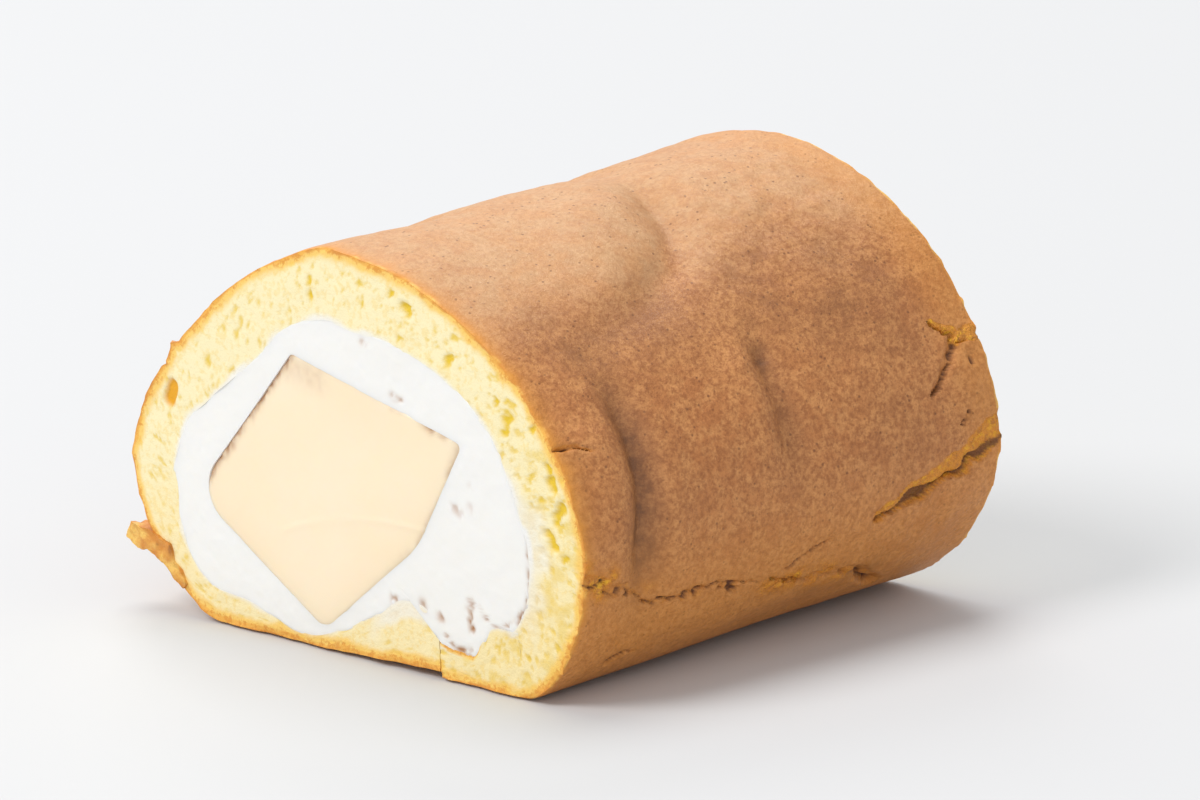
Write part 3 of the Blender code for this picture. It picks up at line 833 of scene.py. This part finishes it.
def make_cream(material):
    """A ring of cream from the sheet to the custard, right through the roll."""
    angles = np.linspace(-np.pi, np.pi, CREAM_COLUMNS, endpoint=False)
    shares = np.linspace(0.0, 0.12, 8, endpoint=False)
    shares = np.append(shares, np.linspace(0.12, 1.0, CREAM_RINGS - 7))
    steps = np.linspace(0.0, 1.0, CREAM_STEPS)[1:-1]
    on_face, between = np.ones(len(shares)), np.zeros(len(steps))
    along_path = np.hstack((0 * on_face, steps, on_face, steps[::-1]))
    share_path = np.hstack((shares, between + 1, shares[::-1], between))
    face_path = np.hstack((on_face, between, -on_face, between))
    inner_reach = reach_in(angles, rounded_corners(CUSTARD)) - CREAM_GAP
    around = np.linspace(0.001, 0.999, 600)
    layers, stains = [], []
    for along, share, face in zip(along_path, share_path, face_path):
        edge = roll_points(around, np.full(len(around), along), sheet_thickness(around))[:, [0, 2]]
        edge += (X_SHIFT - DRIFT * along, -CUSTARD_RISE * along)
        outer_reach = reach_in(angles, edge) + CREAM_OVERLAP
        reach = outer_reach * (1 - share) + inner_reach * share
        mixed = around_middle(angles, reach)
        layer = carried(mixed, along)
        stain = marks_on(face, mixed, CREAM_MARKS, 200, 1.1)
        # Its face is nearly level with the crumb and dips into it at the edge
        into = CREAM_DIP * np.exp(-((outer_reach - reach) / 0.0006) ** 2)
        into += 0.00016 * layered_noise(layer, 0.009, 81, 3)
        into += 0.00006 * noise(layer, 0.0014, 84)
        layer[:, 1] += face * (into + 0.0005 * stain)
        layers.append(layer)
        stains.append(stain)
    points = np.stack(layers, axis=1).reshape(-1, 3)
    faces = grid_quads(CREAM_COLUMNS, len(along_path), close_columns=True)
    return make_piece("cream_filling", points, faces, material, dict(stain=np.stack(stains, axis=1).ravel()))


def make_custard(material):
    """The custard block: cut faces with softly rounded edges, and straight sides."""
    angles = np.linspace(-np.pi, np.pi, CUSTARD_COLUMNS, endpoint=False)
    reach = reach_in(angles, rounded_corners(CUSTARD))
    shrink = 1.0 - 0.98 * np.linspace(1.0, 0.0, CUSTARD_RINGS) ** 1.7
    steps = np.linspace(0.0, 1.0, CUSTARD_STEPS)[1:-1]
    on_face, between = np.ones(len(shrink)), np.zeros(len(steps))
    sizes = np.hstack((shrink, between + 1, shrink[::-1]))
    along_path = np.hstack((0 * on_face, steps, on_face))
    face_path = np.hstack((on_face, between, -on_face))
    layers, rims, peaches = [], [], []
    for size, along, face in zip(sizes, along_path, face_path):
        mixed = around_middle(angles, reach * size)
        inward = (1 - size) * reach
        layer = carried(mixed, along)
        flat = np.column_stack((mixed, np.full(CUSTARD_COLUMNS, 0.01 * along)))
        rim = marks_on(face, mixed, CUSTARD_MARKS_AND_SHADE, 400, 0.35)
        into = 0.0004 * np.exp(-inward / 0.0004) - 0.0002
        into += 0.0001 * layered_noise(flat, 0.012, 91, 3)
        # A shallow arc left by the knife
        arc = norm(mixed - KNIFE_ARC[:2], axis=1) - KNIFE_ARC[2]
        into -= 0.00012 * fading(arc, 0.0006) * (mixed[:, 0] > -0.02)
        layer[:, 1] += face * (into + 0.0004 * rim)
        layers.append(layer)
        rims.append(rim)
        peaches.append(np.exp(-inward / 0.006) * (0.55 + 0.45 * noise(flat, 0.015, 93)))
    faces = turned(grid_quads(len(sizes), CUSTARD_COLUMNS) + end_caps(len(sizes), CUSTARD_COLUMNS))
    shades = dict(rim=np.hstack(rims), peach=np.hstack(peaches))
    return make_piece("custard_block", np.vstack(layers), faces, material, shades)


# Materials

class Nodes:
    """Short names for building a material's nodes."""

    def __init__(self, name):
        self.material = bpy.data.materials.new(name)
        self.material.use_nodes = True
        self.tree = self.material.node_tree
        self.shader = self.tree.nodes["Principled BSDF"]
        self.place = self.tree.nodes.new("ShaderNodeTexCoord").outputs["Object"]

    def link(self, value, socket):
        if isinstance(value, bpy.types.NodeSocket):
            self.tree.links.new(value, socket)
        elif isinstance(value, tuple) and len(value) == 3:
            socket.default_value = (*value, 1.0)
        else:
            socket.default_value = value

    def node(self, kind, output, inputs, **settings):
        """The output of a new node, with its settings made and its inputs linked or set."""
        added = self.tree.nodes.new(kind)
        for name, value in settings.items():
            setattr(added, name, value)
        for name, value in inputs.items():
            self.link(value, added.inputs[name])
        return added.outputs[output]

    def noise(self, size, detail, roughness=0.5):
        inputs = {"Vector": self.place, "Scale": 1.0 / size, "Detail": detail, "Roughness": roughness}
        return self.node("ShaderNodeTexNoise", "Fac", inputs)

    def cells(self, size):
        return self.node("ShaderNodeTexVoronoi", "Distance", {"Vector": self.place, "Scale": 1.0 / size})

    def ramp(self, value, low, high, out_low=0.0, out_high=1.0):
        inputs = {"Value": value, "From Min": low, "From Max": high, "To Min": out_low, "To Max": out_high}
        return self.node("ShaderNodeMapRange", "Result", inputs, interpolation_type="SMOOTHSTEP")

    def math(self, operation, first, second):
        return self.node("ShaderNodeMath", 0, {0: first, 1: second}, operation=operation)

    def mix(self, share, first, second):
        return self.node("ShaderNodeMix", 2, {"Factor": share, 6: first, 7: second}, data_type="RGBA")

    def layer(self, name):
        return self.node("ShaderNodeAttribute", "Fac", {}, attribute_name=name)

    def bump(self, height, depth, strength, under=None):
        inputs = {"Distance": depth, "Strength": strength, "Height": height}
        if under:
            inputs["Normal"] = under
        return self.node("ShaderNodeBump", "Normal", inputs)

    def soften(self, weight, radius):
        self.shader.inputs["Subsurface Weight"].default_value = weight
        self.shader.inputs["Subsurface Radius"].default_value = radius
        self.shader.inputs["Subsurface Scale"].default_value = 1.0

    def finish(self, colour, normal, roughness):
        self.link(colour, self.shader.inputs["Base Color"])
        self.link(normal, self.shader.inputs["Normal"])
        self.shader.inputs["Roughness"].default_value = roughness
        return self.material


def sponge_material():
    """Browned crust with specks, turning to whitish-yellow crumb by the mesh's layers;
    painted top light, and painted shade in folds, patches, pores and cracks.
    """
    nodes = Nodes("sponge")
    broad = nodes.ramp(nodes.noise(0.022, 3.0), 0.3, 0.7, 0.2, 0.8)
    crust = nodes.mix(broad, CRUST_BROWN, CRUST_TAN)
    mottle = nodes.noise(0.0036, 4.0, 0.65)
    crust = nodes.mix(nodes.ramp(mottle, 0.4, 0.6, 0.0, 0.9), crust, CRUST_TAN)
    patches = nodes.ramp(nodes.noise(0.005, 3.0, 0.6), 0.38, 0.62, 0.62, 1.0)
    # Painted top light: the crust lighter on top of the roll, with its grains fainter there
    crust = nodes.mix(nodes.math("MULTIPLY", nodes.layer("painted_top_light"), patches), crust, CRUST_PAINTED_TOP_LIGHT)
    fine = nodes.noise(0.001, 4.0, 0.7)
    grains = nodes.ramp(nodes.layer("painted_top_light"), 0.0, 1.0, 0.88, 0.34)
    crust = nodes.mix(nodes.math("MULTIPLY", nodes.ramp(fine, 0.35, 0.69), grains), crust, CRUST_GRAIN)
    specks = nodes.ramp(nodes.cells(0.0015), 0.1, 0.24, 1.0, 0.0)
    chosen = nodes.ramp(nodes.noise(0.0035, 1.0), 0.48, 0.58)
    crust = nodes.mix(nodes.math("MULTIPLY", nodes.math("MULTIPLY", specks, chosen), 0.6), crust, CRUST_DARK)
    ragged = nodes.ramp(mottle, 0.3, 0.6, 1.3, 0.7)
    # Painted shade in the folds' hollows and on the darker patches
    crust = nodes.mix(nodes.math("MULTIPLY", nodes.layer("painted_shade"), ragged), crust, CRUST_PAINTED_SHADE)
    toast = nodes.layer("toast")
    # Orange of the toasted edges, with painted warm shade and bounce light low down
    crust = nodes.mix(nodes.math("MULTIPLY", toast, 0.9), crust, CRUST_ORANGE)

    grain = nodes.noise(0.0013, 3.0, 0.6)
    crumb = nodes.mix(nodes.ramp(grain, 0.36, 0.52, 0.5, 0.0), CRUMB_PALE, CRUMB_GRAIN)
    # Painted shade in the pores, and the crumb's own deeper-coloured patches on the right wall and low down
    crumb = nodes.mix(nodes.layer("pore"), crumb, CRUMB_DEEP)
    crumb = nodes.mix(nodes.ramp(toast, 0.0, 0.85, 0.0, 0.9), crumb, CRUMB_RICH)
    crumb = nodes.mix(nodes.ramp(toast, 0.9, 1.0), crumb, CRUMB_EDGE)
    toasted = nodes.math("MULTIPLY", nodes.ramp(toast, 0.55, 0.95), nodes.ramp(fine, 0.48, 0.6, 0.0, 0.75))
    crumb = nodes.mix(toasted, crumb, CRUST_ORANGE)
    crumb = nodes.mix(nodes.layer("pit"), crumb, CRUMB_PIT)
    crumb = nodes.mix(nodes.layer("smear"), crumb, CREAM_WHITE)

    colour = nodes.mix(nodes.layer("crumb"), crust, crumb)
    torn_colour = nodes.mix(nodes.ramp(nodes.noise(0.0012, 3.0, 0.6), 0.33, 0.55), CRUMB_TORN, CRUST_ORANGE)
    torn_colour = nodes.mix(nodes.ramp(nodes.layer("torn"), 0.58, 0.88, 0.8, 0.0), torn_colour, CRUST_RUST)
    torn_lumps = nodes.noise(0.0014, 3.0, 0.6)
    # Painted shade between the torn crumb's lumps, where the bump below is lowest
    torn_colour = nodes.mix(nodes.ramp(torn_lumps, 0.52, 0.64, 0.0, 0.42), torn_colour, CRUST_GRAIN)
    colour = nodes.mix(nodes.ramp(nodes.layer("torn"), 0.0, 0.75), colour, torn_colour)
    # Painted shade in the cracks' gaps; on the flake, dark patches at random
    colour = nodes.mix(nodes.layer("gap"), colour, CRUST_DARK)
    nodes.shader.inputs["IOR"].default_value = 1.45
    normal = nodes.bump(fine, 0.00026, 0.9)
    normal = nodes.bump(nodes.noise(0.0004, 2.0), 0.0001, 0.7, normal)
    crumbly = nodes.math("MULTIPLY", nodes.math("SUBTRACT", 0.5, torn_lumps), nodes.layer("torn"))
    return nodes.finish(colour, nodes.bump(crumbly, 0.0016, 0.9, normal), 0.55)


def cream_material():
    nodes = Nodes("cream")
    soft = nodes.noise(0.009, 3.0)
    colour = nodes.mix(nodes.ramp(soft, 0.35, 0.7, 0.0, 0.25), CREAM_WHITE, CREAM_WARM)
    colour = nodes.mix(nodes.layer("stain"), colour, CREAM_STAIN)
    nodes.soften(0.25, (0.003, 0.0026, 0.002))
    return nodes.finish(colour, nodes.bump(nodes.noise(0.0018, 3.0), 0.00012, 0.5), 0.42)


def custard_material():
    nodes = Nodes("custard")
    soft = nodes.noise(0.014, 2.0)
    colour = nodes.mix(nodes.ramp(soft, 0.35, 0.7, 0.0, 0.35), CUSTARD_PALE, CUSTARD_WARM)
    colour = nodes.mix(nodes.layer("peach"), colour, CUSTARD_PEACH)
    # Brown marks on the custard's edges, and painted shade along its upper left, right and lower edges
    colour = nodes.mix(nodes.layer("rim"), colour, CUSTARD_RIM)
    nodes.soften(0.3, (0.004, 0.0028, 0.0016))
    return nodes.finish(colour, nodes.bump(nodes.noise(0.0012, 2.0), 0.00005, 0.5), 0.34)


def floor_material():
    nodes = Nodes("floor")
    nodes.shader.inputs["Base Color"].default_value = (*FLOOR_PALE, 1.0)
    nodes.shader.inputs["Roughness"].default_value = 1.0
    nodes.shader.inputs["Specular IOR Level"].default_value = 0.0
    return nodes.material


# Setting: floor, light and camera

def make_camera():
    azimuth, elevation, roll = np.radians((CAMERA_AZIMUTH, CAMERA_ELEVATION, CAMERA_ROLL))
    back = Vector((np.sin(azimuth) * np.cos(elevation), -np.cos(azimuth) * np.cos(elevation),
                   np.sin(elevation)))
    level = Vector((np.cos(azimuth), np.sin(azimuth), 0.0))
    upright = back.cross(level)
    right = level * np.cos(roll) - upright * np.sin(roll)
    up = upright * np.cos(roll) + level * np.sin(roll)
    data = bpy.data.cameras.new("camera")
    data.sensor_width = SENSOR_WIDTH
    data.lens = CAMERA_LENS
    data.clip_start, data.clip_end = CAMERA_CLIP
    camera = add_object("camera", data)
    turn = Matrix((right, up, back)).transposed().to_4x4()
    camera.matrix_world = Matrix.Translation(CAMERA_PLACE) @ turn
    bpy.context.scene.camera = camera


def make_light(name, place, size, power, colour):
    data = bpy.data.lights.new(name, "AREA")
    data.shape = "DISK"
    data.size = size
    data.energy = power
    data.color = colour
    light = add_object(name, data)
    light.location = place
    light.rotation_euler = (Vector(LIGHT_TARGET) - Vector(place)).to_track_quat("-Z", "Y").to_euler()


def make_setting():
    data = bpy.data.meshes.new("floor")
    corners = np.array(((-1, -1, 0), (1, -1, 0), (1, 1, 0), (-1, 1, 0))) * FLOOR_REACH
    data.from_pydata(corners.tolist(), [], [(0, 1, 2, 3)])
    data.materials.append(floor_material())
    floor = add_object("floor", data)
    floor.location.z = -FLOOR_DROP

    world = bpy.data.worlds.new("studio")
    bpy.context.scene.world = world
    world.use_nodes = True
    background = world.node_tree.nodes["Background"]
    background.inputs["Color"].default_value = (*STUDIO_COLOUR, 1.0)
    background.inputs["Strength"].default_value = STUDIO_STRENGTH
    for light in LIGHTS:
        make_light(*light)
    view = bpy.context.scene.view_settings
    view.view_transform = "Standard"
    view.look = "None"


def main():
    make_camera()
    make_setting()
    sponge = sponge_material()
    sheet = make_sponge(sponge)
    flake = make_flake(sponge)
    cream = make_cream(cream_material())
    custard = make_custard(custard_material())
    for piece, node, slot in ((sheet, "sponge", "crust"), (flake, "sponge", "crust"),
                              (cream, "cream", "cream"), (custard, "custard", "custard")):
        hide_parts(node)


main()
